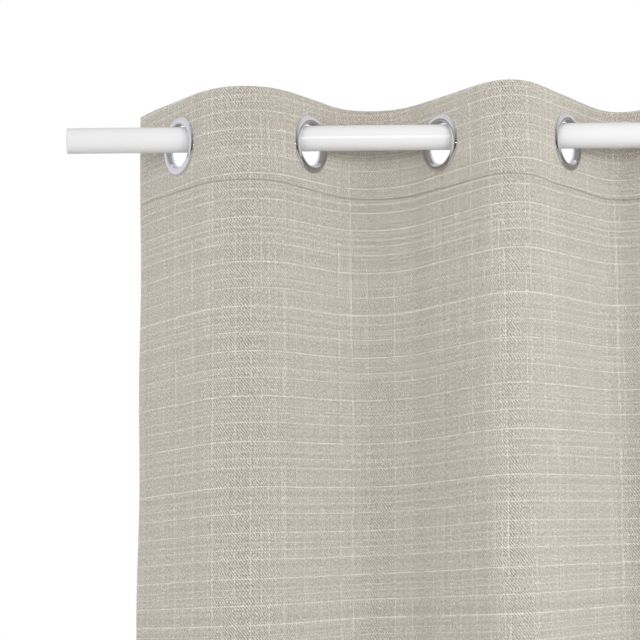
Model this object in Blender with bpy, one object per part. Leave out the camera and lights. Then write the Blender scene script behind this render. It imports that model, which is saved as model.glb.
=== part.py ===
"""Eyelet curtain panel hanging on a fixed rod between two wall brackets.

World frame: the wall is the plane y = 0 and the room is on -Y. x = 0 and z = 0 are the
centre of the left bracket's wall plate, and the rod's axis runs along X at z = 0.
"""
import math

import bmesh
import bpy
from mathutils import Matrix, Vector

# ---------------------------------------------------------------- sizes, metres
FIT_GAP = 0.0003              # air left between pieces that touch

# rod and its end plugs
PROJECTION = 0.1143           # wall to the rod's axis
ROD_OD = 0.0254
ROD_WALL = 0.0012
ROD_END_LEFT = 0.1532         # rod past the left bracket
ROD_END_RIGHT = 0.1335        # rod past the right bracket
PLUG_LENGTH = 0.012
PLUG_CHAMFER = 0.0006

# eyelets: a front ring whose neck passes through the cloth, and a back ring around it
EYELET_PITCH = 0.128          # between eyelet centres along the rod
PITCH_SHIFTS = (0.0009, 0.0006, -0.0028, 0.0008, -0.0004, 0.0006, -0.0006)
EYELET_OUTBOARD = 0.042       # first eyelet outside the left bracket
BRACKET_PAST_LAST = 0.075     # right bracket past the last eyelet
EYELET_ROOM = 0.0073          # throat radius beyond the rod's radius
THROAT_HALF = 0.0024          # half length of the throat's straight part
NECK_WALL = 0.0014
NECK_TAIL = 0.0034            # neck's end behind the cloth's middle
NECK_CHAMFER = 0.0007
FLANGE_REACH = 0.0090         # flange radius beyond the throat's radius
FLANGE_EDGE = 0.0008          # straight rim of a flange
FRONT_DOME = 0.0020           # front flange's height
BACK_DOME = 0.0026            # back flange's height
# points of the flanges' rounded tops, as shares of (FLANGE_REACH, dome)
FRONT_CURVE = ((0.78, 0.90), (0.50, 1.0), (0.24, 0.75))
BACK_CURVE = ((0.45, 1.0), (0.12, 1.0), (0.0, 0.85))
HOLE_ROOM = 0.0005            # cloth hole's radius beyond the neck
PUNCH_REACH = 0.008           # punch through the cloth, to each side
RING_SIDES = 28

# panel
PANEL_LENGTH = 2.134
HEADER_ABOVE = 0.0465         # top edge above the eyelet centres
HEADER_BELOW = 0.0463         # header's stitch line below the eyelet centres
CLOTH = 0.0016                # cloth thickness at the header
FLANK_ANGLE = math.radians(57.5)      # cloth at the eyelets, from the rod's direction
FOLD_DEPTHS = (0.058, 0.058, 0.074, 0.075, 0.070, 0.068, 0.067)   # front, back, front ...
FLAT_PAST_FLANGE = 0.002      # cloth stays flat this far past the flange
FLAT_FADE = 0.014             # width over which the flat cloth turns into the fold
EDGE_REACH = 0.045            # side edge beyond the end eyelet, along the rod
EDGE_DEPTH = 0.077            # side edge behind the rod's axis
FOLD_STEPS = 6

# bracket: wall plate, round arm and open cradle in one piece
PLATE_WIDTH = 0.024
PLATE_HEIGHT = 0.064
PLATE_THICK = 0.003
PLATE_CORNER = 0.004
SCREW_SPACING = 0.044         # between the two wall screws
ARM_DIA = 0.010
CRADLE_WALL = 0.0025
CRADLE_WIDTH = 0.015
CRADLE_RISE = 0.0085          # cradle's walls above the rod's axis
BOSS_DIA = 0.011
BOSS_LENGTH = 0.0025
WELD_OVERLAP = 0.001          # how far joined shapes of one piece run into each other
ARC_STEPS = 14

# screws
WALL_SHANK_DIA = 0.004
WALL_HEAD_DIA = 0.0084
WALL_HEAD_HEIGHT = 0.0026
WALL_HEAD_CURVE = ((1.0, 0.45), (0.80, 0.85), (0.48, 1.0))    # shares of (radius, height)
SHANK_ROOM = 0.0005           # hole radius beyond the wall screw's shank
THUMB_SHANK_DIA = 0.0044
THUMB_HEAD_DIA = 0.014
THUMB_HEAD_LENGTH = 0.006
THUMB_COLLAR_DIA = 0.008
THUMB_COLLAR_LENGTH = 0.0015
KNURL_TEETH = 14
KNURL_DEPTH = 0.0006

# ---------------------------------------------------------------- derived
ROD_R = ROD_OD / 2
ROD_BORE_R = ROD_R - ROD_WALL
EYELETS = len(FOLD_DEPTHS) + 1
THROAT_R = ROD_R + EYELET_ROOM
NECK_R = THROAT_R + NECK_WALL
FLANGE_R = THROAT_R + FLANGE_REACH
BACK_BORE_R = NECK_R + FIT_GAP
CLOTH_HOLE_R = NECK_R + HOLE_ROOM
FLANGE_FACE = CLOTH / 2 + FIT_GAP
FLAT_X = (FLANGE_R + FLAT_PAST_FLANGE) * math.cos(FLANK_ANGLE)
FLANK_SLOPE = math.tan(FLANK_ANGLE)
CRADLE_IN_R = ROD_R + FIT_GAP
CRADLE_OUT_R = CRADLE_IN_R + CRADLE_WALL
BOSS_FRONT = CRADLE_OUT_R + BOSS_LENGTH


def eyelet_places():
    """x of each eyelet's centre."""
    places = [-EYELET_OUTBOARD]
    for shift in PITCH_SHIFTS:
        places.append(places[-1] + EYELET_PITCH + shift)
    return places


EYELET_X = eyelet_places()
BRACKETS = {"left": 0.0, "right": EYELET_X[-1] + BRACKET_PAST_LAST}


def hang_drop():
    """How far an eyelet's centre hangs below the rod's axis when it rests on the rod.

    Seen along the eyelet's axis the rod is an ellipse that moves sideways through the throat.
    """
    room = THROAT_R * math.cos(math.pi / RING_SIDES) - FIT_GAP
    wide = ROD_R / math.sin(FLANK_ANGLE)
    shift = THROAT_HALF / math.tan(FLANK_ANGLE)
    low, high = 0.0, THROAT_R
    for _ in range(40):
        drop = (low + high) / 2
        reach = max(
            math.hypot(wide * math.cos(a) + shift, drop + ROD_R * math.sin(a))
            for a in (math.radians(d) for d in range(0, 91))
        )
        if reach < room:
            low = drop
        else:
            high = drop
    return low


EYELET_Z = -hang_drop()
PANEL_TOP = EYELET_Z + HEADER_ABOVE
PANEL_BOTTOM = PANEL_TOP - PANEL_LENGTH
HEADER_LINE = EYELET_Z - HEADER_BELOW

# ---------------------------------------------------------------- materials and helpers
for old in list(bpy.data.objects):
    bpy.data.objects.remove(old, do_unlink=True)


def material(name, colour, roughness, metallic):
    mat = bpy.data.materials.new(name)
    mat.use_nodes = True
    shader = mat.node_tree.nodes["Principled BSDF"]
    shader.inputs["Base Color"].default_value = (*colour, 1.0)
    shader.inputs["Roughness"].default_value = roughness
    shader.inputs["Metallic"].default_value = metallic
    return mat


COAT = material("white_powder_coat", (0.86, 0.86, 0.85), 0.35, 0.0)
PLASTIC = material("white_plastic", (0.84, 0.84, 0.83), 0.45, 0.0)
CHROME = material("polished_chrome", (0.72, 0.72, 0.74), 0.12, 1.0)
STEEL = material("zinc_plated_steel", (0.62, 0.62, 0.60), 0.35, 1.0)
LINEN = material("woven_cloth", (0.50, 0.46, 0.40), 0.92, 0.0)


def add_object(name, bm, mat, matrix=None, parent=None, smooth=True):
    """Put a bmesh in the scene as one named object, placed in its parent's space."""
    bmesh.ops.recalc_face_normals(bm, faces=bm.faces)
    mesh = bpy.data.meshes.new(name)
    bm.to_mesh(mesh)
    bm.free()
    if smooth:
        mesh.shade_smooth()
        mesh.set_sharp_from_angle(angle=math.radians(35))
    obj = bpy.data.objects.new(name, mesh)
    bpy.context.scene.collection.objects.link(obj)
    if mat is not None:
        mesh.materials.append(mat)
    obj.parent = parent
    if matrix is not None:
        obj.location = matrix.to_translation()
        obj.rotation_euler = matrix.to_euler()
    return obj


def add_empty(name, place, parent=None):
    empty = bpy.data.objects.new(name, None)
    empty.empty_display_size = 0.02
    empty.location = place
    empty.parent = parent
    bpy.context.scene.collection.objects.link(empty)
    return empty


def turned(profile, sides, closed, ripple=None):
    """Solid of revolution about local Z from (radius, z) points.

    A closed profile makes a ring, an open one has caps at both ends. A ripple is
    (first, last, depth): those profile points have every second side pulled in.
    """
    bm = bmesh.new()
    rows = []
    for index, (radius, z) in enumerate(profile):
        row = []
        for side in range(sides):
            angle = 2 * math.pi * side / sides
            reach = radius
            if ripple and ripple[0] <= index <= ripple[1] and side % 2:
                reach = radius - ripple[2]
            row.append(bm.verts.new((reach * math.cos(angle), reach * math.sin(angle), z)))
        rows.append(row)
    count = len(rows)
    for index in range(count if closed else count - 1):
        here, there = rows[index], rows[(index + 1) % count]
        for side in range(sides):
            after = (side + 1) % sides
            bm.faces.new((here[side], here[after], there[after], there[side]))
    if not closed:
        bm.faces.new(rows[0])
        bm.faces.new(rows[-1])
    return bm


def prism(outline, low, high):
    """Solid between two copies of a flat outline of (a, b) points, along local Z."""
    bm = bmesh.new()
    bottom = [bm.verts.new((a, b, low)) for a, b in outline]
    top = [bm.verts.new((a, b, high)) for a, b in outline]
    count = len(outline)
    bm.faces.new(bottom)
    bm.faces.new(top)
    for index in range(count):
        after = (index + 1) % count
        bm.faces.new((bottom[index], bottom[after], top[after], top[index]))
    return bm


def cylinder(radius, low, high, sides):
    return turned([(radius, low), (radius, high)], sides, closed=False)


def hide_helper(obj):
    obj.hide_render = True
    obj.display_type = 'WIRE'


def combine(target, helper, operation):
    hide_helper(helper)
    step = target.modifiers.new(helper.name, 'BOOLEAN')
    step.operation = operation
    step.solver = 'EXACT'
    step.object = helper


# local Z onto world -Y, local Y onto world Z
FACING_ROOM = Matrix(((1, 0, 0, 0), (0, 0, -1, 0), (0, 1, 0, 0), (0, 0, 0, 1)))
# local Z onto world X
ALONG_ROD = Matrix(((0, 0, 1, 0), (1, 0, 0, 0), (0, 1, 0, 0), (0, 0, 0, 1)))


def at(x, y, z, turn=None):
    place = Matrix.Translation((x, y, z))
    return place @ turn if turn is not None else place


# ---------------------------------------------------------------- rod
ROD_LEFT = BRACKETS["left"] - ROD_END_LEFT
ROD_RIGHT = BRACKETS["right"] + ROD_END_RIGHT
rod_length = ROD_RIGHT - ROD_LEFT
tube = [(ROD_R, 0.0), (ROD_R, rod_length), (ROD_BORE_R, rod_length), (ROD_BORE_R, 0.0)]
add_object("curtain_rod", turned(tube, 32, closed=True), COAT,
           at(ROD_LEFT, -PROJECTION, 0.0, ALONG_ROD))

plug_r = ROD_BORE_R - FIT_GAP
plug = [(plug_r - PLUG_CHAMFER, 0.0), (plug_r, PLUG_CHAMFER), (plug_r, PLUG_LENGTH)]
add_object("rod_plug_left", turned(plug, 24, closed=False), PLASTIC,
           at(ROD_LEFT, -PROJECTION, 0.0, ALONG_ROD))
plug_back = [(radius, -z) for radius, z in plug]
add_object("rod_plug_right", turned(plug_back, 24, closed=False), PLASTIC,
           at(ROD_RIGHT, -PROJECTION, 0.0, ALONG_ROD))


# ---------------------------------------------------------------- brackets
def rounded_rectangle(width, height, corner, steps=4):
    points = []
    for quarter, (sx, sz) in enumerate(((1, 1), (-1, 1), (-1, -1), (1, -1))):
        cx, cz = sx * (width / 2 - corner), sz * (height / 2 - corner)
        for step in range(steps + 1):
            angle = math.pi / 2 * (quarter + step / steps)
            points.append((cx + corner * math.cos(angle), cz + corner * math.sin(angle)))
    return points


def cradle_outline():
    """U of the cradle around the rod, open at the top, as (across, up) points."""
    outer = [(CRADLE_OUT_R, CRADLE_RISE)]
    inner = [(-CRADLE_IN_R, CRADLE_RISE)]
    for step in range(ARC_STEPS + 1):
        angle = math.pi * step / ARC_STEPS
        outer.append((CRADLE_OUT_R * math.cos(angle), -CRADLE_OUT_R * math.sin(angle)))
        inner.append((-CRADLE_IN_R * math.cos(angle), -CRADLE_IN_R * math.sin(angle)))
    outer.append((-CRADLE_OUT_R, CRADLE_RISE))
    inner.append((CRADLE_IN_R, CRADLE_RISE))
    return outer + inner


THUMB_HOLE_R = THUMB_SHANK_DIA / 2 + FIT_GAP
ARM_END = PROJECTION - CRADLE_OUT_R + WELD_OVERLAP


def add_bracket(side, x):
    """Wall plate, arm and cradle in one piece, with its two kinds of screw."""
    shape = prism(rounded_rectangle(PLATE_WIDTH, PLATE_HEIGHT, PLATE_CORNER), 0.0, PLATE_THICK)
    body = add_object("bracket_" + side, shape, COAT, at(x, 0.0, 0.0, FACING_ROOM))
    arm = add_object("arm_shape_" + side,
                     cylinder(ARM_DIA / 2, PLATE_THICK - WELD_OVERLAP, ARM_END, 20),
                     None, at(x, 0.0, 0.0, FACING_ROOM))
    cradle = add_object("cradle_shape_" + side,
                        prism(cradle_outline(), -CRADLE_WIDTH / 2, CRADLE_WIDTH / 2),
                        None, at(x, -PROJECTION, 0.0, ALONG_ROD))
    boss = add_object("boss_shape_" + side,
                      cylinder(BOSS_DIA / 2, CRADLE_OUT_R - WELD_OVERLAP, BOSS_FRONT, 20),
                      None, at(x, -PROJECTION, 0.0, FACING_ROOM))
    for shape_part in (arm, cradle, boss):
        combine(body, shape_part, 'UNION')
    drill = add_object("thumb_hole_shape_" + side,
                       cylinder(THUMB_HOLE_R, ROD_R / 2, BOSS_FRONT + BOSS_LENGTH, 16),
                       None, at(x, -PROJECTION, 0.0, FACING_ROOM))
    combine(body, drill, 'DIFFERENCE')
    for level, sign in (("upper", 1), ("lower", -1)):
        z = sign * SCREW_SPACING / 2
        hole = add_object("screw_hole_shape_" + side + "_" + level,
                          cylinder(WALL_SHANK_DIA / 2 + SHANK_ROOM, -PLATE_THICK, 2 * PLATE_THICK, 16),
                          None, at(x, 0.0, z, FACING_ROOM))
        combine(body, hole, 'DIFFERENCE')
        head = PLATE_THICK + FIT_GAP
        screw = [(WALL_SHANK_DIA / 2, 0.0), (WALL_SHANK_DIA / 2, head), (WALL_HEAD_DIA / 2, head),
                 *((WALL_HEAD_DIA / 2 * out, head + WALL_HEAD_HEIGHT * up)
                   for out, up in WALL_HEAD_CURVE)]
        add_object("wall_screw_" + side + "_" + level, turned(screw, 16, closed=False), STEEL,
                   at(x, 0.0, z, FACING_ROOM))
    tip = ROD_R + FIT_GAP
    collar = BOSS_FRONT + FIT_GAP
    grip = collar + THUMB_COLLAR_LENGTH
    thumb = [(THUMB_SHANK_DIA / 2, tip), (THUMB_SHANK_DIA / 2, collar),
             (THUMB_COLLAR_DIA / 2, collar), (THUMB_COLLAR_DIA / 2, grip),
             (THUMB_HEAD_DIA / 2, grip + KNURL_DEPTH),
             (THUMB_HEAD_DIA / 2, grip + THUMB_HEAD_LENGTH - KNURL_DEPTH),
             (THUMB_HEAD_DIA / 2 - 2 * KNURL_DEPTH, grip + THUMB_HEAD_LENGTH)]
    add_object("thumb_screw_" + side,
               turned(thumb, 2 * KNURL_TEETH, closed=False, ripple=(4, 5, KNURL_DEPTH)),
               STEEL, at(x, -PROJECTION, 0.0, FACING_ROOM))


for side, x in BRACKETS.items():
    add_bracket(side, x)

# ---------------------------------------------------------------- eyelets
# (radius, height along the eyelet's axis), front of the cloth positive
FRONT_RING = [
    (FLANGE_R, FLANGE_FACE),
    (FLANGE_R, FLANGE_FACE + FLANGE_EDGE),
    *((THROAT_R + FLANGE_REACH * out, FLANGE_FACE + FRONT_DOME * up) for out, up in FRONT_CURVE),
    (THROAT_R, THROAT_HALF),
    (THROAT_R, -THROAT_HALF),
    (THROAT_R + NECK_CHAMFER, -NECK_TAIL),
    (NECK_R, -NECK_TAIL),
    (NECK_R, FLANGE_FACE),
]
BACK_RING = [
    (BACK_BORE_R, -FLANGE_FACE),
    (FLANGE_R, -FLANGE_FACE),
    (FLANGE_R, -FLANGE_FACE - FLANGE_EDGE),
    *((BACK_BORE_R + FLANGE_REACH * out, -FLANGE_FACE - BACK_DOME * up) for out, up in BACK_CURVE),
]


def eyelet_turn(index):
    """Rotation that lays local Z along the cloth's front normal at an eyelet."""
    lean = 1 if index % 2 == 0 else -1
    normal = Vector((-lean * math.sin(FLANK_ANGLE), -math.cos(FLANK_ANGLE), 0.0))
    up = Vector((0.0, 0.0, 1.0))
    across = up.cross(normal)
    return Matrix((across, up, normal)).transposed().to_4x4()


# ---------------------------------------------------------------- folded cloth
def fold_half(pitch, depth):
    """(along, forward) points from the flat cloth at an eyelet to the fold's crest."""
    ratio = FLANK_SLOPE * pitch / (math.pi * depth)
    share = (ratio - 1) / (ratio + 3)
    points = []
    for step in range(FOLD_STEPS + 1):
        x = FLAT_X + (pitch / 2 - FIT_GAP / 2 - FLAT_X) * step / FOLD_STEPS
        turn = math.pi * x / pitch
        wave = depth * (math.sin(turn) + share * math.sin(3 * turn)) / (1 - share)
        fade = min(1.0, (x - FLAT_X) / FLAT_FADE)
        fade = fade * fade * (3 - 2 * fade)
        points.append((x, FLANK_SLOPE * x * (1 - fade) + wave * fade))
    return points


def edge_half():
    """(along, forward) points from the flat cloth at an end eyelet to the side edge."""
    start = Vector((FLAT_X, FLAT_X * FLANK_SLOPE))
    end = Vector((EDGE_REACH, EDGE_DEPTH))
    bend = start + (end - start).length / 2 * Vector((math.cos(FLANK_ANGLE), math.sin(FLANK_ANGLE)))
    points = []
    for step in range(FOLD_STEPS + 1):
        t = step / FOLD_STEPS
        spot = start * (1 - t) ** 2 + bend * (2 * t * (1 - t)) + end * t ** 2
        points.append((spot.x, spot.y))
    return points


def strip_line(index, side):
    """Middle line of the cloth on one side of an eyelet, left to right, about its centre.

    side is -1 for the cloth to the eyelet's left and 1 for the cloth to its right.
    """
    lean = 1 if index % 2 == 0 else -1
    beside = index + side
    if 0 <= beside < EYELETS:
        pitch = abs(EYELET_X[beside] - EYELET_X[index])
        half = fold_half(pitch, FOLD_DEPTHS[min(index, beside)])
    else:
        half = edge_half()
    start = (FIT_GAP / 2 * math.cos(FLANK_ANGLE), FIT_GAP / 2 * math.sin(FLANK_ANGLE))
    line = [Vector((side * along, -side * lean * forward)) for along, forward in [start] + half]
    return line if side > 0 else line[::-1]


def cloth_strip(line, levels, crests):
    """Sheet of even thickness along a plan line, between the given heights.

    crests says which of its two ends are fold crests. A crest lies square to the room,
    so that neighbouring strips meet face to face.
    """
    normals = []
    last = len(line) - 1
    for index in range(len(line)):
        run = line[min(index + 1, last)] - line[max(index - 1, 0)]
        run.normalize()
        normals.append(Vector((-run.y, run.x)))
    for crest, end in zip(crests, (0, last)):
        if crest:
            normals[end] = Vector((0.0, 1.0))
    bm = bmesh.new()
    sheets = []
    for offset in (-CLOTH / 2, CLOTH / 2):
        sheet = []
        for z in levels:
            sheet.append([bm.verts.new((p.x + n.x * offset, p.y + n.y * offset, z))
                          for p, n in zip(line, normals)])
        sheets.append(sheet)
    front, back = sheets
    rows, columns = len(levels), len(line)
    for sheet in sheets:
        for row in range(rows - 1):
            for column in range(columns - 1):
                bm.faces.new((sheet[row][column], sheet[row][column + 1],
                              sheet[row + 1][column + 1], sheet[row + 1][column]))
    for row in (0, rows - 1):
        for column in range(columns - 1):
            bm.faces.new((front[row][column], front[row][column + 1],
                          back[row][column + 1], back[row][column]))
    for column in (0, columns - 1):
        for row in range(rows - 1):
            bm.faces.new((front[row][column], front[row + 1][column],
                          back[row + 1][column], back[row][column]))
    return bm


carrier = add_empty("panel_swing", (0.0, -PROJECTION, 0.0))
previous = Vector((0.0, -PROJECTION, 0.0))
for index, x in enumerate(EYELET_X):
    number = str(index + 1)
    centre = Vector((x, -PROJECTION, EYELET_Z))
    carrier = add_empty("carrier_" + number, centre - previous, carrier)
    previous = centre
    turn = eyelet_turn(index)
    add_object("eyelet_front_" + number, turned(FRONT_RING, RING_SIDES, closed=True),
               CHROME, turn, carrier)
    add_object("eyelet_back_" + number, turned(BACK_RING, RING_SIDES, closed=True),
               CHROME, turn, carrier)
    punch = add_object("punch_shape_" + number,
                       cylinder(CLOTH_HOLE_R, -PUNCH_REACH, PUNCH_REACH, RING_SIDES),
                       None, turn, carrier)
    levels = [PANEL_TOP - EYELET_Z, HEADER_LINE - EYELET_Z, PANEL_BOTTOM - EYELET_Z]
    for side, word in ((-1, "left"), (1, "right")):
        crests = (side < 0 and index > 0, side > 0 and index < EYELETS - 1)
        strip = add_object("panel_strip_" + number + "_" + word,
                           cloth_strip(strip_line(index, side), levels, crests),
                           LINEN, None, carrier)
        combine(strip, punch, 'DIFFERENCE')
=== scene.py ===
"""Eyelet curtain panel on a white rod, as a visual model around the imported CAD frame."""
import math

import bmesh
import bpy
import numpy as np
from mathutils import Matrix, Vector


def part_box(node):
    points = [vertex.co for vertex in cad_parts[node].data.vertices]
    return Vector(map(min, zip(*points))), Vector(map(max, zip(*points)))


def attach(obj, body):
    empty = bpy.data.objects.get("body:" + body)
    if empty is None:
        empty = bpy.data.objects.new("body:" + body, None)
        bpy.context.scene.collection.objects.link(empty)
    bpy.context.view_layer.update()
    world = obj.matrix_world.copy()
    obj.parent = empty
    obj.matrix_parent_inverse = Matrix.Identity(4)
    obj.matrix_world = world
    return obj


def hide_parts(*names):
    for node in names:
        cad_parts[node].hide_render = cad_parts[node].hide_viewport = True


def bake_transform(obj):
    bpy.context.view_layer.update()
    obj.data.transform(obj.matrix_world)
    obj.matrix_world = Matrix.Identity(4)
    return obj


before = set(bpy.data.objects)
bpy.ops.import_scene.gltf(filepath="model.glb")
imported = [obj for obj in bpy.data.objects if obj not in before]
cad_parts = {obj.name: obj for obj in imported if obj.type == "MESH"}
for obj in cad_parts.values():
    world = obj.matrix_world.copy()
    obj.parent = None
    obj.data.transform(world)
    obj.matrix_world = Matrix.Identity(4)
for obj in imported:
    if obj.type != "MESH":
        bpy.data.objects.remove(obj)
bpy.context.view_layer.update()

# ---------------- places, from the CAD frame
EYELETS = sum(1 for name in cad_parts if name.startswith("eyelet_front_"))
rod_low, rod_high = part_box("curtain_rod")
ROD_Y, ROD_Z = (rod_low.y + rod_high.y) / 2, (rod_low.z + rod_high.z) / 2
ROD_R = (rod_high.z - rod_low.z) / 2
front_low, front_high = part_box("eyelet_front_1")
EYELET_Z = (front_low.z + front_high.z) / 2
FLANGE_R = (front_high.z - front_low.z) / 2
CLOTH = 0.0016                       # thickness of the folded header
HALF_CLOTH = CLOTH / 2


def strip(number, side):
    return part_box("panel_strip_%d_%s" % (number, side))


EYELET_X = [(strip(k, "left")[1].x + strip(k, "right")[0].x) / 2 for k in range(1, EYELETS + 1)]
PANEL_TOP = strip(1, "left")[1].z
PANEL_BOTTOM = strip(1, "left")[0].z
PANEL_LENGTH = PANEL_TOP - PANEL_BOTTOM
DEPTHS = []
for k in range(1, EYELETS):
    low, high = strip(k, "right")
    DEPTHS.append(ROD_Y - low.y - HALF_CLOTH if k % 2 else high.y - HALF_CLOTH - ROD_Y)
EDGE_LEFT = strip(1, "left")
FLANK = math.radians(57.5)           # cloth at the eyelets, from the rod's direction
THROAT_R = FLANGE_R - 0.0090
GAP = 0.0003                         # clearance between parts
SIDE_HEM = 0.025
HEADER = PANEL_TOP - EYELET_Z + 0.0463   # from the top edge down to the header's seam
BOTTOM_HEM = 0.080
SEAM_IN = 0.0010                     # from a hem's inner edge to its stitches
NECK_R = THROAT_R + 0.0014


# ---------------- small tools
def smooth(x, low, high):
    t = np.clip((np.asarray(x, float) - low) / (high - low), 0.0, 1.0)
    return t * t * (3 - 2 * t)


def waves(x, seed, length, octaves=3):
    """Smooth wandering of about -1 to 1 along x, from sines of unrelated lengths."""
    turn = np.random.default_rng(seed)
    total = np.zeros_like(np.asarray(x, float))
    for octave in range(octaves):
        reach = length / (1.75 ** octave) * turn.uniform(0.85, 1.15)
        total += np.sin(2 * math.pi * (np.asarray(x) / reach + turn.uniform())) / (1.6 ** octave)
    return total / 1.6


def mesh_object(name, points, faces, material, smooth_faces=True):
    mesh = bpy.data.meshes.new(name)
    mesh.from_pydata([tuple(p) for p in points], [], [tuple(f) for f in faces])
    mesh.materials.append(material)
    if smooth_faces:
        mesh.shade_smooth()
    obj = bpy.data.objects.new(name, mesh)
    bpy.context.scene.collection.objects.link(obj)
    return obj


# ---------------- node materials
class Graph:
    """A node tree, a new material's or a given one, with short ways to add to it."""

    def __init__(self, name=None, tree=None):
        if tree is None:
            self.material = bpy.data.materials.new(name)
            self.material.use_nodes = True
            tree = self.material.node_tree
            self.shader = tree.nodes["Principled BSDF"]
        self.tree = tree

    def put(self, socket, value):
        if isinstance(value, bpy.types.NodeSocket):
            self.tree.links.new(value, socket)
        elif value is not None:
            socket.default_value = value

    def node(self, kind, inputs=None, output=0, **settings):
        made = self.tree.nodes.new(kind)
        for key, value in settings.items():
            setattr(made, key, value)
        for key, value in (inputs or {}).items():
            self.put(made.inputs[key], value)
        return made.outputs[output] if output is not None else made

    def math(self, operation, a, b=None, c=None, clamp=False):
        made = self.tree.nodes.new("ShaderNodeMath")
        made.operation = operation
        made.use_clamp = clamp
        for socket, value in zip(made.inputs, (a, b, c)):
            self.put(socket, value)
        return made.outputs[0]

    def times(self, a, b):
        return self.math('MULTIPLY', a, b)

    def random(self, number):
        return self.node("ShaderNodeTexWhiteNoise", {"W": number}, noise_dimensions='1D')

    def point(self, x, y, z=0.0):
        return self.node("ShaderNodeCombineXYZ", {"X": x, "Y": y, "Z": z})

    def noise(self, vector, scale=1.0, detail=2.0, rough=0.5):
        return self.node("ShaderNodeTexNoise", {"Vector": vector, "Scale": scale, "Detail": detail,
                                                "Roughness": rough})

    def spread(self, value, low, high, to_low=0.0, to_high=1.0, kind='LINEAR'):
        return self.node("ShaderNodeMapRange", {"Value": value, "From Min": low, "From Max": high,
                                                "To Min": to_low, "To Max": to_high},
                         interpolation_type=kind)

    def mix(self, factor, a, b):
        made = self.tree.nodes.new("ShaderNodeMix")
        made.data_type = 'RGBA'
        self.put(made.inputs[0], factor)
        self.put(made.inputs[6], a)
        self.put(made.inputs[7], b)
        return made.outputs[2]

    def bump(self, height, distance, strength=1.0, under=None):
        made = self.tree.nodes.new("ShaderNodeBump")
        made.inputs["Strength"].default_value = strength
        made.inputs["Distance"].default_value = distance
        self.put(made.inputs["Height"], height)
        if under is not None:
            self.put(made.inputs["Normal"], under)
        return made.outputs[0]

    def finish(self, **inputs):
        for key, value in inputs.items():
            self.put(self.shader.inputs[key.replace("_", " ")], value)
        return self.material


WARP_GAP = 0.00066                   # between neighbouring upright yarns
WEFT_GAP = 0.00090                   # between neighbouring yarns across the width
SKEW = 0.024                         # the weft rises this much along the width
REPEAT = 0.043                       # between the strongest ivory wefts
FIRST_LINE = 0.0037
IVORY_WEFTS = ((0.0, 1.0), (0.0097, 0.45), (0.0160, 0.55), (0.0250, 0.80), (REPEAT, 1.0))


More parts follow.
